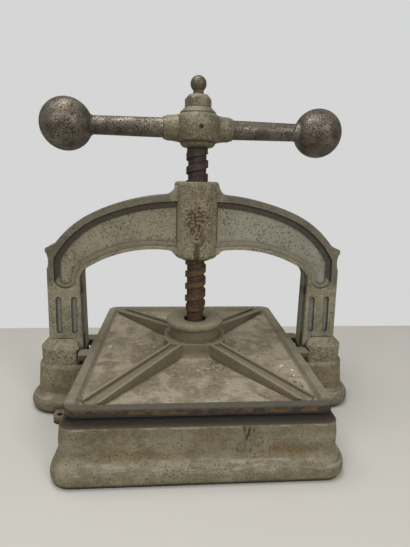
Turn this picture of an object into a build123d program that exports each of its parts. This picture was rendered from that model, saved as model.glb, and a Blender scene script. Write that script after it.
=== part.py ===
from build123d import *
import os
from math import acos, atan2, cos, degrees, hypot, radians, sin, sqrt

os.makedirs("parts", exist_ok=True)

# Book press, in millimetres. X runs across the press, Y from front to back, Z upwards.
# The origin lies on the floor under the axis of the screw.

# Bed
bed_width = 261.2
bed_depth = 291.6
bed_corner = 12.0
table_top = 64.0
bed_shoulder = 9.1
shoulder_softening = 1.6
bed_wall = 9.0
table_thickness = 10.0
bed_rib = 8.0
cell_corner = 8.0
face_draft = 1.3
face_draft_end = 42.0
moulding_rise = 28.8
moulding_reach = 8.9
moulding_tuck = 2.6
moulding_curve = ((0.17, 0.83), (0.54, 0.7), (1.0, 0.33))

# Pedestals at the ends of the bed
pedestal_axis = 165.7
pedestal_radius = 22.5
pedestal_flare = 2.6
pedestal_brim = 8.6
pedestal_tuck = 3.2
pedestal_curve = ((0.1, 0.89), (0.32, 0.81), (1.0, 0.28))
seat_level = 57.0
seat_softening = 2.4
pedestal_rise = 23.5
seat_thickness = 12.0
pedestal_bore = 16.0
pedestal_web = 7.0

# Bench lugs on the pedestals
lug_spacing = 312.0
lug_line = 45.0
lug_width = 15.0
lug_thickness = 8.0
lug_hole = 6.5

# Yoke: legs, arch and boss
leg_thickness = 28.0
leg_inside = 133.6
leg_outside = 172.44
leg_lean = 0.02777
haunch_radius = 18.0
intrados_radius = 145.0
intrados_centre = (48.0, 51.1)
extrados_radius = 245.4
extrados_centre = (15.83, 12.67)
shoulder_radius = 118.69
shoulder_turn = 22.38
boss_radius = 25.5
boss_bottom = 184.8
boss_top = 272.0
boss_foot_round = 5.5
boss_throat = 9.0
boss_throat_middle = (2.5, 3.0)
boss_blend = 8.0
boss_blend_levels = (196.0, 257.0)
boss_round = 4.0
boss_fairing = 8.5
boss_fairing_middle = 2.55
boss_fairing_rise = 3.4
knob_level = 194.0
knob_start = 10.2
knob_brow = (-4.8, 4.9)
knob_crest = (0.1, 2.9)
knob_nose = (1.3, 0.2)
knob_chin = (-0.2, -3.5)
nape_drop = 22.0
nape_hollow = 1.5
recess_depths = (2.0, 4.0)
recess_from_extrados = (7.5, 13.6)
recess_from_opening = (4.0, 9.5)
recess_end = 157.5
recess_foot_sags = (8.0, 3.5)
recess_softening = 3.0
recess_boss_depth = 3.5
flute_width = 6.6
flute_depth = 2.5
flute_bottom = 94.5
flute_top = 139.5
flute_places = (141.4, 158.9)
guide_width = 14.0
guide_reach = 2.7
guide_top = 164.6
guide_round = 12.0

# Collars at the feet of the legs
collar_inside = 137.0
collar_end = 184.2
collar_half_depth = 20.0
collar_level = 76.5
collar_slope = 11.5
collar_corner = 5.0
collar_round = 18.0
collar_lip = 1.0
collar_top_inside = 140.0

# Nut in the boss, and its grub screw
nut_radius = 16.0
nut_flange_radius = 18.0
nut_flange = 4.2
nut_flange_sink = 2.0
nut_bevel = 1.6
nut_top = 264.0
nut_lead_in = 14.6
grub_level = 236.0
grub_radius = 3.0
grub_pocket = 1.5

# Studs that hold the yoke on the bed
stud_place = 158.0
stud_radius = 5.0
stud_bottom = 31.0
stud_top = 78.0
stud_hole_end = 80.0
stud_nut_flats = 17.0
stud_nut_height = 8.0
washer_radius = 10.0
washer_thickness = 2.0

# Platen
platen_width = 250.0
platen_depth = 290.0
platen_corner = 13.0
table_gap = 2.9
rim_height = 8.1
rim_flat = 8.5
rim_slope = 4.0
field_depth = 5.0
ear_reach = 11.5
ear_half_width = 31.0
ear_notch_depth = 10.0
ear_clearance = 1.0
ear_round = 3.0
rib_width = 19.0
rib_inner_width = 15.4
rib_ridge = 3.0
rib_channel = 3.5
rib_aim = (101.7, 129.5)
rib_inner_end = 27.5
rib_end_reach = 3.0
boss_block_front = 33.0
boss_block_side = 37.0
boss_block_level = 87.5
boss_block_corners = ((0.495, 1.0), (0.81, 0.85), (1.0, 0.385))
boss_block_fillet = 7.0
boss_slope = 5.0
neck_radius = 29.5
neck_top = 101.5
socket_radius = 17.4
socket_floor = 82.0

# Keeper ring and its set screws
ring_radius = 34.8
ring_thickness = 9.2
ring_round = 4.4
ring_bore = 13.5
ring_dish = 2.5
ring_dish_radius = 25.0
spigot_radius = 20.0
spigot_length = 6.0
keeper_screw_radius = 2.5
keeper_screw_sink = 1.0

# Thrust button
button_radius = 8.0
button_height = 8.0
button_sink = 4.0

# Screw
screw_lead = 15.0
crest_radius = 12.4
root_radius = 10.3
crest_arc = 170.0
lower_flank_arc = 12.0
upper_flank_arc = 50.0
journal_show = 8.9
thread_turn = -16.8
screw_collar_radius = 11.4
screw_collar_length = 6.4
journal_radius = 10.0
toe_flange_radius = 17.0
toe_flange_thickness = 5.1
toe_radius = 7.0
screw_neck_radius = 11.7
screw_neck_length = 5.0
shank_radius = 9.0
tang_radius = 7.0
tang_length = 15.0

# Handle
handle_level = 328.7
handle_turn = 4.83
hub_drop = 20.1
hub_radius = 26.5
hub_height = 35.5
hub_foot_radius = 13.3
hub_foot_height = 4.6
hub_foot_curve = (0.7, 0.36)
hub_ring_radius = 19.6
hub_ring_height = 1.4
hub_edge_height = 1.2
hub_rim_radius = 23.6
hub_shoulder = 3.1
hub_head_radius = 20.0
socket_collar_radius = 13.3
socket_collar_reach = 38.3
socket_bevel = 1.7
socket_flare_start = 31.0
socket_flare_middle = (25.5, 13.8)
socket_flare_end = (19.5, 15.2)
arm_radius = 10.4
arm_neck_radius = 9.7
arm_spigot_radius = 8.0
arm_spigot_length = 12.8
ball_place = 139.4
ball_radius = 27.1
arm_fillet = 5.0
pin_radius = 2.4
pin_sink = 1.0

# Washer and cap nut on the hub
hub_washer_radius = 19.6
hub_washer_thickness = 6.4
hub_washer_bevel = 4.9
cap_flats = 25.4
cap_height = 7.9
cap_chamfer = (4.2, 5.0)
cap_crown = 0.9
cap_neck_radius = 5.7
cap_neck_bevel = 0.8
cap_neck_length = 3.0
cap_ball_radius = 8.7

# Clearances
fit_clearance = 0.05
thread_clearance = 0.3
turn_clearance = 0.4
toe_clearance = 0.1
stud_clearance = 0.5

# How far a form runs into the one that it is fused with, and the band in which a level is found
overlap = 1.0
level_band = 0.1

# Levels and lines that follow from the sizes above
half_leg = leg_thickness / 2
half_width = bed_width / 2
half_depth = bed_depth / 2
face_top = table_top - bed_shoulder
platen_under = table_top + table_gap
rim_top = platen_under + rim_height
field_level = rim_top - field_depth
ring_top = neck_top + ring_thickness
thread_bottom = ring_top + journal_show + screw_collar_length
toe_level = socket_floor + button_height - button_sink + toe_clearance
flange_top = neck_top - spigot_length - turn_clearance
flange_bottom = flange_top - toe_flange_thickness
nut_bottom = boss_bottom + nut_flange_sink - nut_flange
hub_bottom = handle_level - hub_drop
thread_top = hub_bottom - screw_neck_length
hub_top = hub_bottom + hub_height
hub_washer_top = hub_top + hub_washer_thickness
washer_under = seat_level - seat_thickness
handle_plane = Plane(
    origin=(0, 0, handle_level),
    x_dir=(cos(radians(handle_turn)), sin(radians(handle_turn)), 0),
    z_dir=(0, 0, 1),
)
handle_axis = Axis(handle_plane.origin, handle_plane.x_dir)


def around(centre, radius, angle):
    """Point on a circle, with the angle in degrees from the vertical towards +X."""
    x, z = centre
    return x + radius * sin(radians(angle)), z + radius * cos(radians(angle))


def arc_around(centre, radius, first, last):
    """Arc between two angles, and its end points."""
    start = around(centre, radius, first)
    end = around(centre, radius, last)
    ThreePointArc(start, around(centre, radius, (first + last) / 2), end)
    return start, end


def angle_at_x(centre, radius, x):
    """Angle of the upper point of a circle that lies at x."""
    return 90 - degrees(acos((x - centre[0]) / radius))


def leg_line(z):
    """Outer side of a leg at a level, leaning in as it rises."""
    return leg_outside - leg_lean * (z - seat_level)


# The bed is one hollow casting, open below, with a moulding round its foot.
def pedestal_side():
    """Half section of a pedestal, from its seat down to the floor."""
    foot = pedestal_radius + pedestal_flare
    edge = pedestal_radius - seat_softening
    foot_end = (foot + pedestal_brim - pedestal_tuck, 0)
    hollow, waist, bulge = (
        (foot + out * pedestal_brim, up * pedestal_rise) for out, up in pedestal_curve
    )
    Line((0, seat_level), (edge, seat_level))
    ThreePointArc(
        (edge, seat_level),
        (pedestal_radius - seat_softening / 4, seat_level - seat_softening),
        (pedestal_radius, seat_level - 3 * seat_softening),
    )
    Line((pedestal_radius, seat_level - 3 * seat_softening), (foot, pedestal_rise))
    ThreePointArc((foot, pedestal_rise), hollow, waist)
    ThreePointArc(waist, bulge, foot_end)
    Line(foot_end, (0, 0))
    Line((0, 0), (0, seat_level))


def bed_side():
    """Section of the skin round the bed, measured out from the edge of its upper face."""
    skin_top = face_top - shoulder_softening
    foot_end = (face_draft + moulding_reach - moulding_tuck, 0)
    hollow, waist, bulge = (
        (face_draft + out * moulding_reach, up * moulding_rise) for out, up in moulding_curve
    )
    Line((0, skin_top), (face_draft, face_draft_end))
    Line((face_draft, face_draft_end), (face_draft, moulding_rise))
    ThreePointArc((face_draft, moulding_rise), hollow, waist)
    ThreePointArc(waist, bulge, foot_end)
    Polyline(foot_end, (-bed_wall / 2, 0), (-bed_wall / 2, skin_top), (0, skin_top))


with BuildPart() as bed:
    with BuildSketch():
        RectangleRounded(bed_width, bed_depth, bed_corner)
    extrude(amount=table_top)
    chamfer(bed.edges().group_by(Axis.Z)[-1], bed_shoulder)
    fillet(bed.edges().group_by(Axis.Z)[-1], shoulder_softening)
    face_edges = bed.edges().filter_by_position(Axis.Z, face_top - level_band, face_top + level_band)
    fillet(face_edges, shoulder_softening)
    for side in (-1, 1):
        with BuildLine() as bed_edge:
            FilletPolyline(
                (0, -half_depth),
                (side * half_width, -half_depth),
                (side * half_width, half_depth),
                (0, half_depth),
                radius=bed_corner,
            )
        with BuildSketch(Plane(origin=(0, -half_depth, 0), x_dir=(0, -1, 0), z_dir=(-1, 0, 0))):
            with BuildLine():
                bed_side()
            make_face()
        sweep(path=bed_edge.wire())
    for side in (-1, 1):
        pedestal_plane = Plane(
            origin=(side * pedestal_axis, 0, 0), x_dir=(0, -side, 0), z_dir=(-side, 0, 0)
        )
        with BuildSketch(pedestal_plane):
            with BuildLine():
                pedestal_side()
            make_face()
        revolve(axis=Axis((side * pedestal_axis, 0, 0), (0, 0, 1)), revolution_arc=180)
        with BuildSketch(pedestal_plane):
            with BuildLine():
                pedestal_side()
            make_face()
            mirror(about=Plane.YZ)
        extrude(amount=pedestal_axis - half_width + 2 * bed_wall)
        with BuildSketch():
            with Locations((side * lug_spacing / 2, -lug_line)):
                Circle(lug_width / 2)
                Rectangle(lug_width, lug_line - pedestal_radius / 2, align=(Align.CENTER, Align.MIN))
        extrude(amount=lug_thickness)
        with BuildSketch():
            with Locations((side * lug_spacing / 2, -lug_line)):
                Circle(lug_hole / 2)
        extrude(amount=lug_thickness, mode=Mode.SUBTRACT)
        with BuildSketch():
            with Locations((side * pedestal_axis, 0)):
                Circle(pedestal_bore)
            with Locations((side * (half_width + pedestal_web + pedestal_axis) / 2, 0)):
                Rectangle(pedestal_axis - half_width - pedestal_web, 2 * pedestal_bore)
        extrude(amount=washer_under, mode=Mode.SUBTRACT)
        with BuildSketch(Plane.XY.offset(washer_under)):
            with Locations((side * stud_place, 0)):
                Circle(stud_radius + stud_clearance)
        extrude(amount=seat_thickness, mode=Mode.SUBTRACT)
    cell_width = half_width - bed_wall - bed_rib / 2
    cell_depth = half_depth - bed_wall - bed_rib / 2
    with BuildSketch():
        with GridLocations(cell_width + bed_rib, cell_depth + bed_rib, 2, 2):
            RectangleRounded(cell_width, cell_depth, cell_corner)
    extrude(amount=table_top - table_thickness, mode=Mode.SUBTRACT)


# The yoke is one casting: two legs with collars, the arch between them and the boss for the nut.
def opening_edge(grow, end_x, end_z):
    """Side of the arch opening, from the leg at end_z to the crown at end_x."""
    haunch_x = leg_inside - haunch_radius
    centre_x, centre_z = intrados_centre
    reach = intrados_radius - haunch_radius
    haunch_z = centre_z + sqrt(reach**2 - (haunch_x - centre_x) ** 2)
    turn = degrees(atan2(haunch_x - centre_x, haunch_z - centre_z))
    foot = (leg_inside + grow, end_z)
    Line(foot, (leg_inside + grow, haunch_z))
    arc_around((haunch_x, haunch_z), haunch_radius + grow, 90, turn)
    radius = intrados_radius + grow
    crown = arc_around(intrados_centre, radius, turn, angle_at_x(intrados_centre, radius, end_x))[1]
    return foot, crown


def outer_edge(inset, start_x, end_z, end_x=None):
    """Back of the arch from start_x to the leg line, or to end_x, and down the leg to end_z."""
    junction = around(extrados_centre, extrados_radius, shoulder_turn)
    shoulder_centre = (
        junction[0] - shoulder_radius * sin(radians(shoulder_turn)),
        junction[1] - shoulder_radius * cos(radians(shoulder_turn)),
    )
    upper = extrados_radius - inset
    start = arc_around(
        extrados_centre, upper, angle_at_x(extrados_centre, upper, start_x), shoulder_turn
    )[0]
    lower = shoulder_radius - inset
    if end_x is not None:
        end = arc_around(
            shoulder_centre, lower, shoulder_turn, angle_at_x(shoulder_centre, lower, end_x)
        )[1]
        return start, end
    line_x = leg_line(knob_level) - inset
    end = arc_around(
        shoulder_centre, lower, shoulder_turn, angle_at_x(shoulder_centre, lower, line_x)
    )[1]
    foot = (leg_line(end_z) - inset, end_z)
    Line(end, foot)
    return start, foot


def leg_profile():
    """Right half of the yoke seen from the front."""
    foot, crown = opening_edge(0, boss_radius + boss_throat, seat_level)
    boss_foot = boss_bottom + boss_foot_round
    throat = (boss_radius + boss_throat_middle[0], boss_foot + boss_throat_middle[1])
    ThreePointArc(crown, throat, (boss_radius, boss_foot))
    Line((boss_radius, boss_foot), (0, boss_foot))
    Line((0, boss_foot), (0, boss_top - boss_round))
    shelf = (boss_radius - overlap, boss_top - boss_round)
    Line((0, boss_top - boss_round), shelf)
    knob_x = leg_line(knob_level)
    start, end = outer_edge(0, boss_radius + boss_fairing, seat_level, knob_x - knob_start)
    ThreePointArc(shelf, (boss_radius + boss_fairing_middle, start[1] + boss_fairing_rise), start)
    brow, crest, nose, chin = (
        (knob_x + out, knob_level + up) for out, up in (knob_brow, knob_crest, knob_nose, knob_chin)
    )
    ThreePointArc(end, brow, crest)
    ThreePointArc(crest, nose, chin)
    nape = (leg_line(knob_level - nape_drop), knob_level - nape_drop)
    hollow = (leg_line(knob_level) - nape_hollow, knob_level - nape_drop / 2)
    ThreePointArc(chin, hollow, nape)
    heel = (leg_line(seat_level), seat_level)
    Line(nape, heel)
    Line(heel, foot)


def collar_plan(end_x, inside_x, half, end_round):
    """Plan of a collar, with small corners on the inside and a rounder end on the outside."""
    for x, turn, radius in ((inside_x, 1, collar_corner), (end_x, -1, end_round)):
        bend = (1 - sqrt(0.5)) * radius
        Line((x, half - radius), (x, radius - half))
        for up in (-1, 1):
            ThreePointArc(
                (x, up * (half - radius)),
                (x + turn * bend, up * (half - bend)),
                (x + turn * radius, up * half),
            )
    for up in (-1, 1):
        Line((inside_x + collar_corner, up * half), (end_x - end_round, up * half))


with BuildPart() as yoke:
    with BuildSketch(Plane.XZ):
        with BuildLine():
            leg_profile()
        make_face()
        mirror(about=Plane.YZ)
    extrude(amount=half_leg, both=True)
    for level, depth in enumerate(recess_depths):
        for face in (-1, 1):
            with BuildSketch(Plane.XZ.offset(-face * half_leg)):
                with BuildLine():
                    start_x = boss_radius - recess_boss_depth
                    near, crown = opening_edge(recess_from_opening[level], start_x, recess_end)
                    start, far = outer_edge(recess_from_extrados[level], start_x, recess_end)
                    Line(crown, start)
                    sag = recess_end - recess_foot_sags[level]
                    ThreePointArc(far, ((near[0] + far[0]) / 2, sag), near)
                make_face()
                fillet(vertices().sort_by(Axis.X)[-2], 2 * recess_softening)
                mirror(about=Plane.YZ)
            extrude(amount=face * depth, mode=Mode.SUBTRACT)
    for face in (-1, 1):
        with BuildSketch(Plane.XZ.offset(-face * half_leg)):
            for place in flute_places:
                middle = (flute_bottom + flute_top) / 2
                lean = degrees(atan2(leg_lean, 1))
                for side in (-1, 1):
                    with Locations((side * place, middle)):
                        SlotOverall(flute_top - flute_bottom, flute_width, rotation=90 + side * lean)
        extrude(amount=face * flute_depth, mode=Mode.SUBTRACT)
    for side in (-1, 1):
        with BuildSketch(Plane.XY.offset(seat_level)):
            with BuildLine():
                collar_plan(collar_end, collar_inside, collar_half_depth, collar_round)
            make_face()
            if side < 0:
                mirror(about=Plane.YZ, mode=Mode.REPLACE)
        extrude(amount=collar_level - seat_level)
        for rise, end_x, inside_x, half, end_round in (
            (0, collar_end, collar_inside, collar_half_depth, collar_round),
            (
                collar_slope,
                leg_line(collar_level) + collar_lip,
                collar_top_inside,
                half_leg + collar_lip,
                collar_corner + collar_lip,
            ),
        ):
            with BuildSketch(Plane.XY.offset(collar_level + rise)):
                with BuildLine():
                    collar_plan(end_x, inside_x, half, end_round)
                make_face()
                if side < 0:
                    mirror(about=Plane.YZ, mode=Mode.REPLACE)
        loft()
        with BuildSketch(Plane.XZ):
            with BuildLine():
                guide_x = leg_inside - guide_reach
                guide_start, guide_end = arc_around((guide_x - guide_round, guide_top), guide_round, 90, 45)
                Polyline(
                    guide_end,
                    (leg_inside + overlap, guide_end[1]),
                    (leg_inside + overlap, seat_level),
                    (guide_x, seat_level),
                    guide_start,
                )
            make_face()
            if side < 0:
                mirror(about=Plane.YZ, mode=Mode.REPLACE)
        extrude(amount=guide_width / 2, both=True)
        with BuildSketch(Plane.XY.offset(seat_level)):
            with Locations((side * stud_place, 0)):
                Circle(stud_radius + fit_clearance)
        extrude(amount=stud_hole_end - seat_level, mode=Mode.SUBTRACT)
    with BuildSketch(Plane.XZ):
        with BuildLine():
            Line((0, boss_bottom), (boss_radius - boss_foot_round, boss_bottom))
            RadiusArc(
                (boss_radius - boss_foot_round, boss_bottom),
                (boss_radius, boss_bottom + boss_foot_round),
                -boss_foot_round,
            )
            Line((boss_radius, boss_bottom + boss_foot_round), (boss_radius, boss_top - boss_round))
            RadiusArc(
                (boss_radius, boss_top - boss_round), (boss_radius - boss_round, boss_top), -boss_round
            )
            Line((boss_radius - boss_round, boss_top), (0, boss_top))
            Line((0, boss_top), (0, boss_bottom))
        make_face()
    revolve(axis=Axis.Z)
    with BuildSketch(Plane.XY.offset(boss_blend_levels[0])):
        with BuildLine():
            blend_reach = boss_radius + boss_blend
            blend_y = half_leg - recess_depths[1] + boss_blend
            blend_x = sqrt(blend_reach**2 - blend_y**2)
            last = 180 + degrees(atan2(blend_x, blend_y))
            web_end, boss_end = arc_around((blend_x, blend_y), boss_blend, 180, last)
            inner_y = web_end[1] - overlap
            Polyline(boss_end, (boss_end[0] - overlap, inner_y), (web_end[0], inner_y), web_end)
        make_face()
        mirror(about=Plane.YZ)
        mirror(about=Plane.XZ)
    extrude(amount=boss_blend_levels[1] - boss_blend_levels[0])
    with BuildSketch(Plane.XY.offset(boss_bottom)):
        Circle(nut_radius + fit_clearance)
    extrude(amount=nut_top - boss_bottom + turn_clearance, mode=Mode.SUBTRACT)
    with BuildSketch(Plane.XY.offset(boss_bottom)):
        Circle(nut_flange_radius + fit_clearance)
    extrude(amount=nut_flange_sink, mode=Mode.SUBTRACT)
    with BuildSketch(Plane.XY.offset(nut_top)):
        Circle(crest_radius + 2 * turn_clearance)
    extrude(amount=boss_top - nut_top, mode=Mode.SUBTRACT)
    with BuildSketch(Plane.XZ):
        with Locations((0, grub_level)):
            Circle(grub_radius + fit_clearance)
    extrude(amount=-boss_radius, mode=Mode.SUBTRACT)


# The screw has a coarse single-start thread, a journal and a flange that the platen traps.
def thread_section(level, grow):
    """Section across the thread at a level, with every side moved out by grow."""
    wider = 360 * grow / screw_lead
    middle = thread_turn + 360 * (level - thread_bottom) / screw_lead
    crest = crest_radius + grow
    root = root_radius + grow
    crest_start = middle - crest_arc / 2 - wider
    crest_end = middle + crest_arc / 2 + wider
    root_start = crest_end + lower_flank_arc
    root_end = crest_start + 360 - upper_flank_arc

    def spot(radius, angle):
        return radius * cos(radians(angle)), radius * sin(radians(angle))

    ThreePointArc(spot(crest, crest_start), spot(crest, middle), spot(crest, crest_end))
    Line(spot(crest, crest_end), spot(root, root_start))
    ThreePointArc(spot(root, root_start), spot(root, (root_start + root_end) / 2), spot(root, root_end))
    Line(spot(root, root_end), spot(crest, crest_start))


with BuildPart() as screw_nut:
    with BuildSketch(Plane.XZ):
        with BuildLine():
            Polyline(
                (0, nut_bottom),
                (nut_flange_radius - nut_bevel, nut_bottom),
                (nut_flange_radius, nut_bottom + nut_bevel),
                (nut_flange_radius, nut_bottom + nut_flange),
                (nut_radius, nut_bottom + nut_flange),
                (nut_radius, nut_top),
                (0, nut_top),
                close=True,
            )
        make_face()
    revolve(axis=Axis.Z)
    with BuildSketch(Plane.XY.offset(nut_bottom)):
        Circle(crest_radius + turn_clearance)
    extrude(amount=nut_lead_in, mode=Mode.SUBTRACT)
    thread_start = nut_bottom + nut_lead_in
    with BuildSketch(Plane.XY.offset(thread_start)):
        with BuildLine():
            thread_section(thread_start, thread_clearance)
        make_face()
    with BuildLine() as nut_path:
        Line((0, 0, thread_start), (0, 0, nut_top))
    nut_helix = Helix(screw_lead, nut_top - thread_start, crest_radius, center=(0, 0, thread_start))
    sweep(path=nut_path.line, binormal=nut_helix, mode=Mode.SUBTRACT)
    with BuildSketch(Plane.XZ.offset(-nut_radius)):
        with Locations((0, grub_level)):
            Circle(grub_radius + fit_clearance)
    extrude(amount=grub_pocket, mode=Mode.SUBTRACT)

with BuildPart() as nut_grub_screw:
    with BuildSketch(Plane.XZ.offset(grub_pocket - nut_radius - fit_clearance)):
        with Locations((0, grub_level)):
            Circle(grub_radius)
    extrude(amount=-(boss_radius - nut_radius))
    with BuildSketch(Plane.XZ.offset(grub_pocket - boss_radius)):
        with Locations((0, grub_level)):
            Rectangle(2 * grub_radius, grub_radius / 3)
    extrude(amount=-2 * grub_pocket, mode=Mode.SUBTRACT)

with BuildPart() as spindle:
    with BuildSketch(Plane.XZ):
        with BuildLine():
            Polyline(
                (0, toe_level),
                (toe_radius, toe_level),
                (toe_radius, flange_bottom),
                (toe_flange_radius, flange_bottom),
                (toe_flange_radius, flange_top),
                (journal_radius, flange_top),
                (journal_radius, thread_bottom - screw_collar_length),
                (screw_collar_radius, thread_bottom - screw_collar_length),
                (screw_collar_radius, thread_bottom),
                (0, thread_bottom),
                close=True,
            )
        make_face()
        with BuildLine():
            Polyline(
                (0, thread_top),
                (screw_neck_radius, thread_top),
                (screw_neck_radius, hub_bottom),
                (shank_radius, hub_bottom),
                (shank_radius, hub_top - turn_clearance),
                (tang_radius, hub_top - turn_clearance),
                (tang_radius, hub_top + tang_length),
                (0, hub_top + tang_length),
                close=True,
            )
        make_face()
    revolve(axis=Axis.Z)
    with BuildSketch(Plane.XY.offset(thread_bottom)):
        with BuildLine():
            thread_section(thread_bottom, 0)
        make_face()
    with BuildLine() as screw_path:
        Line((0, 0, thread_bottom), (0, 0, thread_top))
    screw_helix = Helix(screw_lead, thread_top - thread_bottom, crest_radius, center=(0, 0, thread_bottom))
    sweep(path=screw_path.line, binormal=screw_helix)
    with BuildSketch(Plane(origin=handle_plane.origin, x_dir=(0, 0, 1), z_dir=handle_plane.y_dir)):
        Circle(pin_radius + fit_clearance)
    extrude(amount=hub_radius, both=True, mode=Mode.SUBTRACT)


# Studs, washers and nuts hold the feet of the yoke down on the pedestals.
studs = {}
for name, side in (("left", -1), ("right", 1)):
    with BuildPart() as stud:
        with BuildSketch(Plane.XY.offset(stud_bottom)):
            with Locations((side * stud_place, 0)):
                Circle(stud_radius)
        extrude(amount=stud_top - stud_bottom)
    with BuildPart() as stud_washer:
        with BuildSketch(Plane.XY.offset(washer_under - washer_thickness)):
            with Locations((side * stud_place, 0)):
                Circle(washer_radius)
                Circle(stud_radius + stud_clearance, mode=Mode.SUBTRACT)
        extrude(amount=washer_thickness)
    with BuildPart() as stud_nut:
        with BuildSketch(Plane.XY.offset(washer_under - washer_thickness - stud_nut_height)):
            with Locations((side * stud_place, 0)):
                RegularPolygon(stud_nut_flats / 2, 6, major_radius=False)
                Circle(stud_radius + fit_clearance, mode=Mode.SUBTRACT)
        extrude(amount=stud_nut_height)
    studs[f"{name}_leg_stud"] = stud
    studs[f"{name}_stud_washer"] = stud_washer
    studs[f"{name}_stud_nut"] = stud_nut


# The platen is one casting with a sunk top, four double ribs, a boss and forked ears.
def rib_side(drop):
    """Side of a rib between its ends, with its top lowered by drop, down or up to a level."""
    reach = hypot(*rib_aim)
    inner = (rib_inner_end, boss_block_level + overlap - drop)
    outer = (reach + rib_end_reach, rim_top - drop)
    level = field_level - overlap if drop == 0 else boss_block_level + overlap
    Polyline(inner, outer, (outer[0], level), (inner[0], level), close=True)


def rib_plan(inset):
    """Plan of a rib, wider at its outer end, with both sides moved in by inset."""
    outer_x = hypot(*rib_aim) + rib_end_reach
    inner_half = rib_inner_width / 2 - inset
    outer_half = rib_width / 2 - inset
    Polyline(
        (rib_inner_end, -inner_half),
        (outer_x, -outer_half),
        (outer_x, outer_half),
        (rib_inner_end, inner_half),
        close=True,
    )


with BuildPart() as rib_channel_space:
    with BuildSketch(Plane.XZ):
        with BuildLine():
            rib_side(rib_channel)
        make_face()
    extrude(amount=rib_width, both=True)
    with BuildSketch(Plane.XY.offset(field_level - overlap)):
        with BuildLine():
            rib_plan(rib_ridge)
        make_face()
    extrude(amount=boss_block_level, mode=Mode.INTERSECT)

with BuildPart() as rib:
    with BuildSketch(Plane.XZ):
        with BuildLine():
            rib_side(0)
        make_face()
    extrude(amount=rib_width, both=True)
    with BuildSketch(Plane.XY.offset(field_level - overlap)):
        with BuildLine():
            rib_plan(0)
        make_face()
    extrude(amount=boss_block_level, mode=Mode.INTERSECT)
    add(rib_channel_space.part, mode=Mode.SUBTRACT)

with BuildPart() as platen:
    with BuildSketch(Plane.XY.offset(platen_under)):
        RectangleRounded(platen_width, platen_depth, platen_corner)
    extrude(amount=rim_height)
    for side in (-1, 1):
        with BuildSketch(Plane.XY.offset(platen_under)):
            with Locations((side * platen_width / 2, 0)):
                Rectangle(2 * ear_reach, 2 * ear_half_width)
            fillet(vertices(), ear_round)
        extrude(amount=rim_height)
    with BuildSketch(Plane.XY.offset(rim_top)):
        RectangleRounded(
            platen_width - 2 * rim_flat, platen_depth - 2 * rim_flat, platen_corner - rim_flat / 2
        )
    extrude(
        amount=-field_depth, taper=degrees(atan2(rim_slope, field_depth)), mode=Mode.SUBTRACT
    )
    block_points = [(x * boss_block_side, y * boss_block_front) for x, y in boss_block_corners]
    right_points = [*block_points, *[(x, -y) for x, y in reversed(block_points)]]
    block_outline = [*right_points, *[(-x, y) for x, y in reversed(right_points)]]
    with BuildSketch(Plane.XY.offset(field_level - overlap)):
        Polygon(*block_outline, align=None)
    extrude(amount=boss_block_level - field_level + overlap)
    field_edges = platen.edges().filter_by_position(
        Axis.Z, field_level - level_band, field_level + level_band
    )
    block_foot = field_edges.sort_by_distance((0, 0, field_level))[: len(block_outline)]
    fillet(block_foot, boss_block_fillet)
    with BuildSketch(Plane.XY.offset(boss_block_level)):
        Polygon(*block_outline, align=None)
    extrude(
        amount=boss_slope, taper=degrees(atan2(boss_block_front - neck_radius, boss_slope))
    )
    with BuildSketch(Plane.XY.offset(boss_block_level)):
        Circle(neck_radius)
    extrude(amount=neck_top - boss_block_level)
    for turn in (0, 180):
        for mirrored in (1, -1):
            aim = degrees(atan2(rib_aim[1], mirrored * rib_aim[0])) + turn
            with Locations(Location((0, 0, 0), (0, 0, aim))):
                add(rib.part)
    with BuildSketch(Plane.XY.offset(boss_block_level - boss_slope)):
        Circle(neck_radius)
    extrude(amount=neck_top - boss_block_level + boss_slope)
    with BuildSketch(Plane.XY.offset(socket_floor)):
        Circle(socket_radius)
    extrude(amount=neck_top - socket_floor, mode=Mode.SUBTRACT)
    with BuildSketch(Plane.XY.offset(neck_top - spigot_length)):
        Circle(spigot_radius + fit_clearance)
    extrude(amount=spigot_length, mode=Mode.SUBTRACT)
    with BuildSketch(Plane.XY.offset(socket_floor - button_sink)):
        Circle(button_radius + fit_clearance)
    extrude(amount=button_sink, mode=Mode.SUBTRACT)
    with BuildSketch(Plane.YZ):
        with Locations((0, neck_top - spigot_length / 2)):
            Circle(keeper_screw_radius + fit_clearance)
    extrude(amount=neck_radius + overlap, both=True, mode=Mode.SUBTRACT)
    for side in (-1, 1):
        with BuildSketch(Plane.XY.offset(platen_under)):
            with Locations((side * (platen_width / 2 + ear_reach), 0)):
                Rectangle(2 * ear_notch_depth, leg_thickness + 2 * ear_clearance)
        extrude(amount=rim_height, mode=Mode.SUBTRACT)

with BuildPart() as keeper_ring:
    with BuildSketch(Plane.XY.offset(neck_top)):
        Circle(ring_radius)
    extrude(amount=ring_thickness)
    fillet(keeper_ring.edges().filter_by(GeomType.CIRCLE), ring_round)
    with BuildSketch(Plane.XY.offset(neck_top - spigot_length)):
        Circle(spigot_radius)
    extrude(amount=spigot_length + overlap)
    with BuildSketch(Plane.XY.offset(neck_top - spigot_length)):
        Circle(ring_bore)
    extrude(amount=spigot_length + ring_thickness, mode=Mode.SUBTRACT)
    with BuildSketch(Plane.XZ):
        with BuildLine():
            Polyline(
                (0, ring_top - ring_dish),
                (ring_bore, ring_top - ring_dish),
                (ring_dish_radius, ring_top),
                (0, ring_top),
                close=True,
            )
        make_face()
    revolve(axis=Axis.Z, mode=Mode.SUBTRACT)

keeper_screws = {}
for name, side in (("left", -1), ("right", 1)):
    with BuildPart() as keeper_screw:
        with BuildSketch(Plane.YZ.offset(side * (spigot_radius + fit_clearance))):
            with Locations((0, neck_top - spigot_length / 2)):
                Circle(keeper_screw_radius)
        extrude(amount=side * (neck_radius - spigot_radius - keeper_screw_sink))
    keeper_screws[f"{name}_keeper_screw"] = keeper_screw

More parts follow.
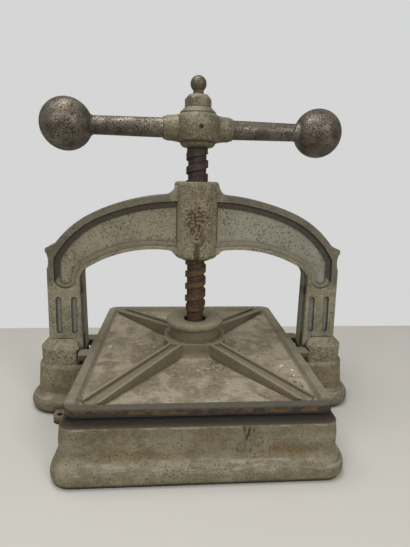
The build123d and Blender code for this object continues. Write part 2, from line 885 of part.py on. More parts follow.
with BuildPart() as thrust_button:
    with BuildSketch(Plane.XY.offset(socket_floor - button_sink)):
        Circle(button_radius)
    extrude(amount=button_height)


# The handle is a cast hub with two arms, each turned in one piece with its ball.
with BuildPart() as handle_hub:
    ring_level = hub_bottom + hub_foot_height
    foot_middle = (
        hub_foot_radius + hub_foot_curve[0] * (hub_ring_radius - hub_foot_radius),
        hub_bottom + hub_foot_curve[1] * hub_foot_height,
    )
    lower_rim = (hub_rim_radius, ring_level + hub_ring_height + hub_edge_height)
    upper_rim = (hub_rim_radius, hub_top - hub_shoulder)
    with BuildSketch(Plane.XZ):
        with BuildLine():
            Line((0, hub_bottom), (hub_foot_radius, hub_bottom))
            ThreePointArc((hub_foot_radius, hub_bottom), foot_middle, (hub_ring_radius, ring_level))
            Line((hub_ring_radius, ring_level), (hub_ring_radius, ring_level + hub_ring_height))
            Line((hub_ring_radius, ring_level + hub_ring_height), lower_rim)
            ThreePointArc(lower_rim, (hub_radius, handle_level), upper_rim)
            Line(upper_rim, (hub_head_radius, hub_top))
            Line((hub_head_radius, hub_top), (0, hub_top))
            Line((0, hub_top), (0, hub_bottom))
        make_face()
    revolve(axis=Axis.Z)
    for side in (-1, 1):
        with BuildSketch(handle_plane):
            with BuildLine():
                ThreePointArc(
                    (side * socket_flare_end[0], socket_flare_end[1]),
                    (side * socket_flare_middle[0], socket_flare_middle[1]),
                    (side * socket_flare_start, socket_collar_radius),
                )
                Polyline(
                    (side * socket_flare_start, socket_collar_radius),
                    (side * (socket_collar_reach - 3 * socket_bevel), socket_collar_radius),
                    (side * socket_collar_reach, socket_collar_radius - socket_bevel),
                    (side * socket_collar_reach, 0),
                    (side * socket_flare_end[0], 0),
                    (side * socket_flare_end[0], socket_flare_end[1]),
                )
            make_face()
        revolve(axis=handle_axis)
        with BuildSketch(handle_plane):
            with BuildLine():
                Polyline(
                    (side * (socket_collar_reach - arm_spigot_length - turn_clearance), 0),
                    (
                        side * (socket_collar_reach - arm_spigot_length - turn_clearance),
                        arm_spigot_radius + fit_clearance,
                    ),
                    (side * socket_collar_reach, arm_spigot_radius + fit_clearance),
                    (side * socket_collar_reach, 0),
                    close=True,
                )
            make_face()
        revolve(axis=handle_axis, mode=Mode.SUBTRACT)
    with BuildSketch(Plane.XY.offset(hub_bottom)):
        Circle(shank_radius + fit_clearance)
    extrude(amount=hub_height, mode=Mode.SUBTRACT)
    with BuildSketch(Plane(origin=handle_plane.origin, x_dir=(0, 0, 1), z_dir=handle_plane.y_dir)):
        Circle(pin_radius + fit_clearance)
    extrude(amount=2 * hub_radius, both=True, mode=Mode.SUBTRACT)

with BuildPart() as hub_pin:
    with BuildSketch(Plane(origin=handle_plane.origin, x_dir=(0, 0, 1), z_dir=handle_plane.y_dir)):
        Circle(pin_radius)
    extrude(amount=hub_radius - pin_sink, both=True)

arms = {}
for name, side in (("left", -1), ("right", 1)):
    with BuildPart() as arm:
        fillet_level = arm_neck_radius + arm_fillet
        centre_reach = ball_radius + arm_fillet
        neck_end = ball_place - sqrt(centre_reach**2 - fillet_level**2)
        meet = degrees(atan2(ball_place - neck_end, fillet_level))
        meet_x, meet_level = around((ball_place, 0), ball_radius, -meet)
        turn_x, turn_level = around((neck_end, fillet_level), arm_fillet, 180 - meet / 2)
        with BuildSketch(handle_plane):
            with BuildLine():
                Polyline(
                    (side * (ball_place + ball_radius), 0),
                    (side * (socket_collar_reach - arm_spigot_length), 0),
                    (side * (socket_collar_reach - arm_spigot_length), arm_spigot_radius),
                    (side * socket_collar_reach, arm_spigot_radius),
                    (side * socket_collar_reach, arm_radius),
                    (side * neck_end, arm_neck_radius),
                )
                ThreePointArc(
                    (side * neck_end, arm_neck_radius),
                    (side * turn_x, turn_level),
                    (side * meet_x, meet_level),
                )
                ThreePointArc(
                    (side * meet_x, meet_level),
                    (side * ball_place, ball_radius),
                    (side * (ball_place + ball_radius), 0),
                )
            make_face()
        revolve(axis=handle_axis)
    arms[f"{name}_arm"] = arm

with BuildPart() as hub_washer:
    with BuildSketch(Plane.XY.offset(hub_top)):
        Circle(hub_washer_radius)
        Circle(tang_radius + stud_clearance, mode=Mode.SUBTRACT)
    extrude(amount=hub_washer_thickness)
    upper_edges = hub_washer.edges().filter_by(GeomType.CIRCLE).group_by(Axis.Z)[-1]
    chamfer(upper_edges.sort_by(SortBy.RADIUS)[-1], hub_washer_bevel)

with BuildPart() as cap_nut:
    shoulder_level = hub_washer_top + cap_height
    crown_level = shoulder_level + cap_chamfer[1] + cap_crown
    neck_bottom = crown_level + cap_neck_bevel
    neck_end = neck_bottom + cap_neck_length
    ball_level = neck_end + sqrt(cap_ball_radius**2 - cap_neck_radius**2)
    cap_top = (0, ball_level + cap_ball_radius)
    corner_radius = cap_flats / sqrt(3)
    with BuildSketch(Plane.XY.offset(hub_washer_top)):
        RegularPolygon(cap_flats / 2, 6, major_radius=False, rotation=handle_turn)
    extrude(amount=crown_level - hub_washer_top)
    with BuildSketch(Plane.XZ):
        with BuildLine():
            Polyline(
                (0, hub_washer_top),
                (corner_radius + cap_chamfer[0], hub_washer_top),
                (corner_radius + cap_chamfer[0], shoulder_level - cap_chamfer[1]),
                (corner_radius - cap_chamfer[0], shoulder_level + cap_chamfer[1]),
                (cap_neck_radius + cap_neck_bevel, crown_level),
                (0, crown_level),
                close=True,
            )
        make_face()
    revolve(axis=Axis.Z, mode=Mode.INTERSECT)
    with BuildSketch(Plane.XZ):
        with BuildLine():
            Polyline(
                (0, crown_level - overlap),
                (cap_neck_radius + cap_neck_bevel, crown_level - overlap),
                (cap_neck_radius + cap_neck_bevel, crown_level),
                (cap_neck_radius, neck_bottom),
                (cap_neck_radius, neck_end),
            )
            ThreePointArc((cap_neck_radius, neck_end), (cap_ball_radius, ball_level), cap_top)
            Line(cap_top, (0, crown_level - overlap))
        make_face()
    revolve(axis=Axis.Z)
    with BuildSketch(Plane.XY.offset(hub_washer_top)):
        Circle(tang_radius + fit_clearance)
    extrude(amount=tang_length - hub_washer_thickness + turn_clearance, mode=Mode.SUBTRACT)


pieces = {
    "bed": bed,
    "yoke": yoke,
    "screw_nut": screw_nut,
    "nut_grub_screw": nut_grub_screw,
    "platen": platen,
    "keeper_ring": keeper_ring,
    "thrust_button": thrust_button,
    "spindle": spindle,
    "handle_hub": handle_hub,
    "hub_pin": hub_pin,
    "hub_washer": hub_washer,
    "cap_nut": cap_nut,
    **studs,
    **keeper_screws,
    **arms,
}
for node, piece in pieces.items():
    piece.part.label = node
    export_step(piece.part, f"parts/{node}.step")
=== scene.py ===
import random
from math import cos, hypot, pi, sin

import bmesh
import bpy
from mathutils import Matrix, Vector


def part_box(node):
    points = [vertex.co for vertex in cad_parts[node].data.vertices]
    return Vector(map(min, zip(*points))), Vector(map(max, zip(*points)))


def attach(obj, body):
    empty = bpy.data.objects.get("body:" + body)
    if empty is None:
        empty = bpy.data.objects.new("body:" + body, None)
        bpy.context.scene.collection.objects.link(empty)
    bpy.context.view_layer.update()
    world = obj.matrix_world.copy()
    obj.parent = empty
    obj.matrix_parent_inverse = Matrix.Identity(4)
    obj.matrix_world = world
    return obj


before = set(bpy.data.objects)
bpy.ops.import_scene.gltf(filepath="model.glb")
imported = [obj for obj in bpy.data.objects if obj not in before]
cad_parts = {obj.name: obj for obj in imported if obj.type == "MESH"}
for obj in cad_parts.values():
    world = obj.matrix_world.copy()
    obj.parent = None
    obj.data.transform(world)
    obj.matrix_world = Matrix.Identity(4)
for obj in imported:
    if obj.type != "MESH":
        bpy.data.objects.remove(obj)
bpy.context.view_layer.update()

# Camera
# A hand-held view from the front, a little to the left of the screw and above the boss,
# turned slightly to the right, tipped down and rolled. Sizes in metres and radians.
camera_place = Vector((-0.02524, -0.47146, 0.27920))
turn, tip, roll = 0.0776, 0.23781, 0.02185
focal_length_px = 405.035
picture_height_px = 547

ahead = Vector((sin(turn) * cos(tip), cos(turn) * cos(tip), -sin(tip)))
level_right = Vector((cos(turn), -sin(turn), 0))
level_up = level_right.cross(ahead)
right = cos(roll) * level_right + sin(roll) * level_up
up = cos(roll) * level_up - sin(roll) * level_right
camera = bpy.data.objects.new("camera", bpy.data.cameras.new("camera"))
camera.data.sensor_width = 36
camera.data.lens = focal_length_px * camera.data.sensor_width / picture_height_px
camera.data.clip_start = 0.01
camera.matrix_world = Matrix.Translation(camera_place) @ Matrix((right, up, -ahead)).transposed().to_4x4()
bpy.context.scene.collection.objects.link(camera)
bpy.context.scene.camera = camera


# Bed
# One iron casting that stands on the rolled rim at its foot, with a pedestal at each end for a leg.
# Its old grey-green paint holds grime and painted shade in the corners, is specked with rust and is
# rubbed in streaks on the roll under a painted highlight. The top of its shoulder is painted near black
# as the platen's shadow, and its table is bare, browned iron.
class Socket:
    """An output of a shader node. A sum or product of sockets adds the Math node for it."""

    def __init__(self, finish, output):
        self.finish = finish
        self.output = output

    def __add__(self, other):
        return self.finish.sum_up("ADD", self, other)

    def __sub__(self, other):
        return self.finish.sum_up("SUBTRACT", self, other)

    def __rsub__(self, other):
        return self.finish.sum_up("SUBTRACT", other, self)

    def __mul__(self, other):
        return self.finish.sum_up("MULTIPLY", self, other)

    __radd__ = __add__
    __rmul__ = __mul__


class Finish:
    """A surface finish, built up node by node and closed into a material."""

    def __init__(self, name):
        self.material = bpy.data.materials.new(name)
        self.material.use_nodes = True
        self.tree = self.material.node_tree
        self.tree.nodes.clear()
        self.place = self.node("TexCoord", output="Object")
        self.x, self.y, self.z = self.axes(self.place)
        self.facing_up = self.axes(self.node("TexCoord", output="Normal"))[2]

    def node(self, kind, settings=None, inputs=None, output=0):
        """Adds a node, with its settings first and then the values or links of its sockets."""
        new = self.tree.nodes.new("ShaderNode" + kind)
        for name, value in (settings or {}).items():
            setattr(new, name, value)
        for name, value in (inputs or {}).items():
            if isinstance(value, Socket):
                self.tree.links.new(value.output, new.inputs[name])
            else:
                new.inputs[name].default_value = value
        return Socket(self, new.outputs[output])

    def sum_up(self, operation, first, second):
        return self.node("Math", {"operation": operation}, {0: first, 1: second})

    def axes(self, vector):
        parts = self.node("SeparateXYZ", inputs={0: vector}).output.node.outputs
        return [Socket(self, part) for part in parts]

    def step(self, value, low, high):
        """0 where the value is under low and 1 where it is over high, or the reverse if low is larger."""
        limits = {"Value": value, "From Min": low, "From Max": high}
        return self.node("MapRange", {"interpolation_type": "SMOOTHSTEP"}, limits)

    def absolute(self, value):
        return self.node("Math", {"operation": "ABSOLUTE"}, {0: value})

    def length(self, first, second):
        """Length of the vector with these two parts."""
        vector = self.node("CombineXYZ", inputs={0: first, 1: second})
        return self.node("VectorMath", {"operation": "LENGTH"}, {0: vector}, output="Value")

    def band(self, value, middle, half, soft):
        """1 within half of the middle, falling to 0 over soft."""
        return self.step(self.absolute(value - middle), half + soft, half)

    def cloud(self, size, detail=3.0, stretch=(1, 1, 1), shift=0.0, warp=0.0):
        """Soft noise from 0 to 1, with patches about as wide as size in metres."""
        moved = {"Vector": self.place, "Scale": stretch, "Location": (shift, shift, shift)}
        vector = self.node("Mapping", inputs=moved)
        settings = {"Vector": vector, "Scale": 1 / size, "Detail": detail, "Distortion": warp}
        return self.node("TexNoise", inputs=settings)

    def dots(self, size, where, shift=0.0, reach=0.35):
        """Spots in cells of a size, each reach cells in radius, in as many of the cells as where says."""
        moved = self.node("Mapping", inputs={"Vector": self.place, "Location": (shift, shift, shift)})
        cells = self.node("TexVoronoi", inputs={"Vector": moved, "Scale": 1 / size}).output.node.outputs
        chance = self.axes(Socket(self, cells["Color"]))[0]
        near = self.step(Socket(self, cells["Distance"]), reach + 0.09, reach - 0.09)
        return near * self.step(where - chance, 0.0, 0.05)

    def patch(self, middle, reach, soft, ragged=0.0):
        """1 around a spot seen from the front, as wide and high as reach, with a ragged edge."""
        across = (self.x - middle[0]) * (1 / reach[0])
        along = (self.z - middle[1]) * (1 / reach[1])
        away = across * across + along * along + ragged * (self.cloud(0.006, 4.0) - 0.5)
        return self.step(away, 1 + soft, 1 - soft)

    def mix(self, share, under, over):
        """Colour under, covered by colour over by a share."""
        colours = {0: share, 6: under, 7: over}
        return self.node("Mix", {"data_type": "RGBA"}, colours, output=2)

    def corners(self, reach):
        """1 deep in a corner or groove and 0 on open faces."""
        light = self.node("AmbientOcclusion", {"samples": 8}, {"Distance": reach}, output="AO")
        return self.step(light, 0.96, 0.58)

    def edges(self, reach):
        """1 on an outer edge that hands and tools rub, 0 on the faces beside it."""
        inside = {"samples": 8, "inside": True}
        light = self.node("AmbientOcclusion", inside, {"Distance": reach}, output="AO")
        return self.step(light, 0.97, 0.6)

    def close(self, colour, roughness, metallic, height, depth, edge_radius):
        """Ends the finish in a shader, with its relief in metres and its edges rounded to a radius."""
        rounded = self.node("Bevel", {"samples": 6}, {"Radius": edge_radius})
        relief = self.node("Bump", inputs={"Height": height, "Distance": depth, "Normal": rounded})
        wanted = {"Base Color": colour, "Roughness": roughness, "Metallic": metallic, "Normal": relief}
        shader = self.node("BsdfPrincipled", inputs=wanted)
        end = self.tree.nodes.new("ShaderNodeOutputMaterial")
        self.tree.links.new(shader.output, end.inputs["Surface"])
        return self.material


def tone(red, green, blue):
    """Linear colour of a tone that is given as it looks on a screen, from 0 to 255."""

    def linear(value):
        value = value / 255
        return value / 12.92 if value <= 0.04045 else ((value + 0.055) / 1.055) ** 2.4

    return (linear(red), linear(green), linear(blue), 1)


def dress(material, *nodes):
    for node in nodes:
        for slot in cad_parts[node].material_slots:
            slot.material = material


paint_tone = tone(130, 123, 100)
pale_paint_tone = tone(154, 147, 124)
dark_paint_tone = tone(92, 84, 64)
rust_tone = tone(56, 40, 26)
bright_rust_tone = tone(116, 88, 54)
yellow_tone = tone(160, 148, 112)
grime_and_shade_tone = tone(26, 21, 15)
dust_tone = tone(140, 131, 112)
rubbed_and_highlight_tone = tone(160, 156, 144)


def old_paint(finish, rusty, rubbed):
    """Colour and height of cast iron under old paint: patches, grain, rust specks, grime with painted shade
    in corners, and rubbed edges.
    """
    patches = finish.step(finish.cloud(0.035, 4.0), 0.38, 0.64)
    mottle = finish.step(finish.cloud(0.007, 6.0, shift=3.0), 0.38, 0.66)
    grain = finish.cloud(0.0018, 5.0, shift=12.0)
    colour = finish.mix(0.3 + 0.7 * patches, dark_paint_tone, paint_tone)
    colour = finish.mix(0.4 * mottle, colour, pale_paint_tone)
    colour = finish.mix((0.2 + 0.35 * rusty) * finish.step(grain, 0.5, 0.38), colour, tone(66, 58, 42))
    colour = finish.mix(0.3 * finish.step(grain, 0.54, 0.66), colour, pale_paint_tone)
    gathered = finish.step(finish.cloud(0.028, 4.0, shift=7.0), 0.4, 0.66)
    stains = finish.step(finish.cloud(0.012, 6.0, shift=5.0), 0.54, 0.72) * rusty
    colour = finish.mix(0.4 * stains, colour, bright_rust_tone)
    light_dots = finish.dots(0.0019, 0.14 + 0.3 * gathered, shift=2.0)
    colour = finish.mix(0.4 * light_dots, colour, yellow_tone)
    specks = finish.dots(0.0019, (0.08 + 0.5 * gathered) * rusty, shift=1.0)
    colour = finish.mix(0.85 * specks, colour, rust_tone)
    dusty = finish.step(finish.facing_up, 0.5, 0.95) * finish.step(finish.cloud(0.01, 5.0), 0.3, 0.6)
    colour = finish.mix(0.6 * dusty, colour, dust_tone)
    worn = finish.edges(0.0022) * finish.step(finish.cloud(0.006, 5.0, shift=9.0), 0.48, 0.62) * rubbed
    colour = finish.mix(0.45 * worn, colour, rubbed_and_highlight_tone)
    # Corners and grooves are painted near black: grime, together with painted shade where light is blocked.
    grime_and_shade = finish.corners(0.006) * finish.step(finish.cloud(0.012, 4.0, shift=11.0), 0.1, 0.5)
    colour = finish.mix(0.93 * grime_and_shade, colour, grime_and_shade_tone)
    sand = finish.cloud(0.0016, 4.0, shift=2.0)
    waves = finish.cloud(0.011, 3.0, shift=4.0)
    height = 0.5 * sand + 0.6 * waves - 0.5 * specks
    return colour, height, worn


casting_relief = 0.0011
casting_edge = 0.0011

bed_half_width = 0.1306
bed_face_top = 0.0549
slope_top = 0.0592
shade_start = 0.0594
fleck_level = 0.036
roll_level = 0.019
foot_darkening_top = 0.0065
wide_scratches = (0.040, 0.042)
narrow_scratches = (0.097, 0.044)

bed_finish = Finish("bed_paint")
on_bed = bed_finish.band(bed_finish.x, 0, bed_half_width, 0.002)
colour, height, worn = old_paint(bed_finish, 0.45 - 0.2 * on_bed, 0.6)
colour = bed_finish.mix(0.22, colour, tone(104, 95, 68))
bed_specks = bed_finish.dots(0.0021, 0.32, shift=23.0, reach=0.4)
colour = bed_finish.mix(0.5 * bed_specks, colour, tone(66, 58, 38))
bed_stains = bed_finish.step(bed_finish.cloud(0.022, 6.0, stretch=(1, 1, 1.6), shift=25.0), 0.5, 0.68)
colour = bed_finish.mix(0.35 * bed_stains, colour, tone(78, 69, 46))
under_edge = bed_finish.step(bed_finish.z, 0.040, 0.051) * on_bed
colour = bed_finish.mix(0.3 * under_edge, colour, tone(72, 64, 44))
pedestal_foot = bed_finish.step(bed_finish.z, 0.034, 0.024) * (1 - on_bed)
colour = bed_finish.mix(0.3 * pedestal_foot, colour, tone(82, 73, 52))
# The shoulder slope is dark brown, painted darker to near black towards its top as the platen's shadow.
bed_slope = bed_finish.step(bed_finish.z, bed_face_top, bed_face_top + 0.0012)
slope_shadow = bed_finish.step(bed_finish.z, bed_face_top, slope_top)
slope_colour_and_shadow = bed_finish.mix(slope_shadow, tone(70, 54, 32), tone(26, 19, 9))
colour = bed_finish.mix(0.92 * bed_slope * on_bed, colour, slope_colour_and_shadow)
# A broken light line along the top arris of the face: wear, with a painted highlight.
arris_wear_and_highlight = bed_finish.band(bed_finish.z, bed_face_top - 0.0004, 0.0004, 0.0008)
arris_wear_and_highlight = arris_wear_and_highlight * bed_finish.step(bed_finish.cloud(0.02, 5.0, shift=13.0), 0.47, 0.6) * on_bed
colour = bed_finish.mix(0.45 * arris_wear_and_highlight, colour, rubbed_and_highlight_tone)
flecked = bed_finish.step(bed_finish.cloud(0.03, 4.0, stretch=(1, 1, 2), shift=14.0), 0.48, 0.64)
flecked = flecked * bed_finish.band(bed_finish.z, fleck_level, 0.01, 0.006)
flecks = bed_finish.dots(0.0022, 0.65 * flecked, shift=3.0, reach=0.46)
colour = bed_finish.mix(0.4 * flecked, colour, tone(106, 88, 56))
colour = bed_finish.mix(0.7 * flecks, colour, tone(122, 90, 46))
dark_flecks = bed_finish.dots(0.0020, 0.3 * flecked, shift=19.0, reach=0.42)
colour = bed_finish.mix(0.7 * dark_flecks, colour, tone(52, 42, 26))
# A light streaky band along the roll: rubbing, with a painted highlight on its upper shoulder.
roll_highlight_and_rub = bed_finish.band(bed_finish.z, roll_level, 0.0035, 0.004)
streaks = bed_finish.cloud(0.006, 5.0, stretch=(0.3, 0.3, 2.2), shift=15.0)
roll_highlight_and_rub = roll_highlight_and_rub * bed_finish.step(streaks, 0.5, 0.66)
colour = bed_finish.mix(0.38 * roll_highlight_and_rub, colour, tone(154, 153, 145))
# The foot is painted darker towards the bottom.
foot_darkening = bed_finish.step(bed_finish.z, foot_darkening_top, 0.0005)
colour = bed_finish.mix(0.75 * foot_darkening, colour, grime_and_shade_tone)
# Above the shoulder, under the platen, the bed is painted near black as the platen's shadow; the flat table
# there keeps the colour of bare iron.
painted_platen_shadow = bed_finish.step(bed_finish.z, shade_start, shade_start + 0.002)
colour = bed_finish.mix(0.95 * painted_platen_shadow * on_bed, colour, tone(14, 11, 8))
table = bed_finish.step(bed_finish.facing_up, 0.93, 0.99) * painted_platen_shadow * on_bed
table_patches = bed_finish.step(bed_finish.cloud(0.02, 6.0, shift=27.0), 0.4, 0.62)
table_colour = bed_finish.mix(table_patches, tone(62, 50, 34), tone(92, 80, 60))
colour = bed_finish.mix(0.95 * table, colour, table_colour)
scratch_lines = bed_finish.cloud(0.0030, 5.0, stretch=(1.0, 1.0, 0.13), shift=17.0, warp=0.6)
scratched = bed_finish.patch(wide_scratches, (0.019, 0.013), 0.35)
scratched = scratched + bed_finish.patch(narrow_scratches, (0.004, 0.006), 0.3)
scratches = bed_finish.step(scratch_lines, 0.57, 0.62) * scratched
colour = bed_finish.mix(0.85 * scratches, colour, grime_and_shade_tone)
roughness = 0.74 - 0.2 * worn - 0.12 * roll_highlight_and_rub
bed_material = bed_finish.close(
    colour, roughness, 0.1, height - 0.3 * scratches, casting_relief, casting_edge
)
dress(bed_material, "bed")

# Yoke
# One casting: two legs with collars, an arch with sunk panels and flutes, and the boss for the screw.
# Rust has broken out on the front of the boss and run down it. The sunk lines hold grime with painted
# shade, a painted shadow under their upper steps and a painted highlight on their lower ones, and the
# web is painted lighter towards the right.
boss_front = -0.02
face_y = 0.014
flute_floor = 0.0115
flute_bottom, flute_top = 0.094, 0.14
panel_step = 0.012
arch_bottom = 0.148
arch_centre = (0.048, 0.0511)
rim_inside = 0.153
boss_side = 0.026
yoke_finish = Finish("yoke_paint")
on_boss = yoke_finish.step(yoke_finish.y, boss_front + 0.004, boss_front)
colour, height, worn = old_paint(yoke_finish, 0.45 + 0.65 * on_boss, 0.8)
arch = yoke_finish.step(yoke_finish.z, arch_bottom, arch_bottom + 0.012)
sunk = yoke_finish.band(yoke_finish.y, 0, face_y - 0.0015, 0.0004) * arch
# The sunk web is painted lighter and cooler towards the right, as painted light from that side.
right_light = yoke_finish.step(yoke_finish.x, 0.0, 0.05)
web_colour_and_light = yoke_finish.mix(right_light, tone(138, 130, 112), tone(146, 144, 134))
colour = yoke_finish.mix(0.42 * sunk, colour, web_colour_and_light)
web_pits = yoke_finish.step(yoke_finish.cloud(0.03, 4.0, shift=33.0), 0.46, 0.62)
web_dots = yoke_finish.dots(0.0020, 0.1 + 0.5 * web_pits, shift=6.0, reach=0.42) * sunk
colour = yoke_finish.mix(0.8 * web_dots, colour, tone(64, 50, 30))
beside = yoke_finish.absolute(yoke_finish.x)
from_centre = yoke_finish.length(beside - arch_centre[0], yoke_finish.z - arch_centre[1])
rim = yoke_finish.step(from_centre, rim_inside, rim_inside + 0.006) * arch * (1 - sunk) * (1 - on_boss)
off_boss = yoke_finish.step(beside, boss_side, boss_side + 0.008)
colour = yoke_finish.mix(0.55 * rim * off_boss, colour, tone(66, 61, 53))
flute = yoke_finish.band(yoke_finish.y, 0, flute_floor + 0.0004, 0.0004)
flute = flute * yoke_finish.step(yoke_finish.z, flute_bottom - 0.004, flute_bottom)
flute = flute * yoke_finish.step(yoke_finish.z, flute_top + 0.002, flute_top)
colour = yoke_finish.mix(0.35 * flute, colour, tone(134, 133, 128))
off_middle = yoke_finish.absolute(yoke_finish.y)
# Step treads of the sunk lines: a near-black painted shadow under the upper steps, a lighter painted
# highlight on the lower ones.
step_shadow_and_highlight = yoke_finish.band(off_middle, panel_step, 0.0003, 0.0002) * arch * (1 - on_boss)
outside = yoke_finish.step(from_centre, rim_inside, rim_inside + 0.004)
colour = yoke_finish.mix(0.88 * outside * step_shadow_and_highlight, colour, tone(42, 34, 21))
colour = yoke_finish.mix(0.4 * (1 - outside) * step_shadow_and_highlight, colour, tone(104, 95, 72))
boss_specks = yoke_finish.dots(0.0021, 0.34 * on_boss, shift=16.0, reach=0.42)
colour = yoke_finish.mix(0.75 * boss_specks, colour, tone(58, 46, 30))
blotch = yoke_finish.patch((-0.002, 0.229), (0.0115, 0.016), 0.7, 1.6) * on_boss
colour = yoke_finish.mix(0.5 * blotch, colour, tone(88, 66, 42))
blots = yoke_finish.dots(0.0024, 0.85 * blotch, shift=4.0, reach=0.52)
colour = yoke_finish.mix(0.9 * blots, colour, tone(42, 29, 18))
for middle, reach, soft, ragged, share, mark_tone in [
    ((0.0055, 0.211), (0.0028, 0.0065), 0.4, 0.8, 0.7, tone(92, 60, 38)),
    ((0.001, 0.2036), (0.0056, 0.0022), 0.7, 0.8, 0.55, tone(46, 33, 22)),
    ((-0.0003, 0.1935), (0.0036, 0.0100), 0.45, 0.9, 0.82, tone(48, 37, 26)),
]:
    mark = yoke_finish.patch(middle, reach, soft, ragged) * on_boss
    colour = yoke_finish.mix(share * mark, colour, mark_tone)
yoke_material = yoke_finish.close(
    colour, 0.74 - 0.2 * worn, 0.1, height, casting_relief, casting_edge
)
dress(yoke_material, "yoke")

# Nut and its grub screw
# A turned bronze nut in the boss carries the thread, and a small steel grub screw in the back of the
# boss keeps it from turning.
bronze_finish = Finish("old_bronze")
turned = bronze_finish.cloud(0.0012, 3.0, stretch=(0.2, 0.2, 3.0))
tarnish = bronze_finish.step(bronze_finish.cloud(0.006, 5.0), 0.35, 0.65)
colour = bronze_finish.mix(tarnish, tone(146, 112, 62), tone(84, 66, 40))
bronze_material = bronze_finish.close(colour, 0.35 + 0.25 * tarnish, 0.9, turned, 0.0001, 0.0004)
dress(bronze_material, "screw_nut")

steel_finish = Finish("dull_steel")
turned = steel_finish.cloud(0.0009, 3.0, stretch=(0.4, 0.4, 2.5))
browned = steel_finish.step(steel_finish.cloud(0.004, 5.0), 0.4, 0.62)
colour = steel_finish.mix(browned, tone(120, 116, 108), tone(80, 60, 42))
steel_material = steel_finish.close(colour, 0.4 + 0.3 * browned, 0.8, turned, 0.0001, 0.0003)
dress(steel_material, "nut_grub_screw")

# Leg studs
# A steel stud, a washer and a nut under each pedestal hold the yoke down on the bed.
for side in ("left", "right"):
    dress(steel_material, side + "_leg_stud", side + "_stud_washer", side + "_stud_nut")

# Platen
# The pressing plate, one casting with a raised rim, four double ribs and a boss for the screw. Years
# of dust, plaster and flaked rust lie on its sunk fields, and its edge is brown with rust, painted near
# black along its foot as its shadow over the bed.
platen_low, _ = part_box("platen")
rim_height = 0.0081
field_depth = 0.005
rim_top = platen_low.z + rim_height
field_level = rim_top - field_depth
front_rim_back = -0.130
rib_half_extent = (0.1125, 0.1325)
plate_half_extent = (0.1195, 0.1395)
platen_finish = Finish("platen_rust_and_dust")
colour, height, worn = old_paint(platen_finish, 0.5, 0.5)
front_rim = platen_finish.step(platen_finish.y, front_rim_back, front_rim_back - 0.008)
rim_colour = platen_finish.mix(0.45, colour, tone(96, 90, 76))
rim_colour = platen_finish.mix(0.75 * front_rim, rim_colour, tone(58, 54, 46))
within = platen_finish.band(platen_finish.x, 0, rib_half_extent[0], 0.002)
within = within * platen_finish.band(platen_finish.y, 0, rib_half_extent[1], 0.002)
rim_colour = platen_finish.mix(0.65 * within, rim_colour, tone(110, 101, 78))
ridge = platen_finish.edges(0.003) * within
rim_colour = platen_finish.mix(0.45 * ridge, rim_colour, tone(140, 132, 110))
in_field = platen_finish.step(platen_finish.z, field_level + 0.0022, field_level + 0.0003)
in_field = in_field * platen_finish.step(platen_finish.facing_up, 0.3, 0.8)
drift = platen_finish.cloud(0.03, 6.0, shift=21.0, warp=0.8)
flakes = platen_finish.cloud(0.005, 6.0, shift=23.0)
crust = platen_finish.step(drift + 0.3 * flakes, 0.58, 0.76)
dust_colour = platen_finish.mix(0.75 * crust, tone(150, 140, 119), tone(100, 88, 68))
dust_colour = platen_finish.mix(0.4 * platen_finish.step(flakes, 0.5, 0.66), dust_colour, tone(164, 155, 138))
dust_colour = platen_finish.mix(0.45 * platen_finish.step(flakes, 0.46, 0.34), dust_colour, tone(86, 74, 56))
chalky = platen_finish.step(drift, 0.42, 0.34)
chalk = platen_finish.dots(0.0034, 0.16 * chalky, shift=25.0)
dust_colour = platen_finish.mix(0.7 * chalk, dust_colour, tone(200, 194, 182))
colour = platen_finish.mix(0.9 * in_field, rim_colour, dust_colour)
edge_low = platen_finish.step(platen_finish.z, rim_top - 0.0006, rim_top - 0.0022)
edge_side = edge_low * platen_finish.step(platen_finish.facing_up, 0.5, 0.2) * (1 - in_field)
edge_patches = platen_finish.step(platen_finish.cloud(0.012, 5.0, stretch=(1, 1, 2), shift=27.0), 0.42, 0.6)
edge_rust_and_shadow = platen_finish.mix(edge_patches, tone(36, 27, 12), tone(86, 64, 32))
# The foot of the platen's side is painted near black as its shadow over the bed.
edge_foot_shadow = platen_finish.step(platen_finish.z, rim_top - 0.0052, rim_top - 0.0068)
edge_rust_and_shadow = platen_finish.mix(0.85 * edge_foot_shadow, edge_rust_and_shadow, tone(18, 14, 10))
outer = platen_finish.node("Math", {"operation": "MAXIMUM"}, {
    0: 1 - platen_finish.band(platen_finish.x, 0, plate_half_extent[0], 0.001),
    1: 1 - platen_finish.band(platen_finish.y, 0, plate_half_extent[1], 0.001),
})
colour = platen_finish.mix(0.85 * edge_side * outer, colour, edge_rust_and_shadow)
dusty_height = 0.5 * crust + 0.9 * flakes + 0.5 * chalk
height = height + in_field * dusty_height
platen_material = platen_finish.close(
    colour, 0.86 - 0.2 * worn, 0.0, height, 0.0015, casting_edge
)
dress(platen_material, "platen")

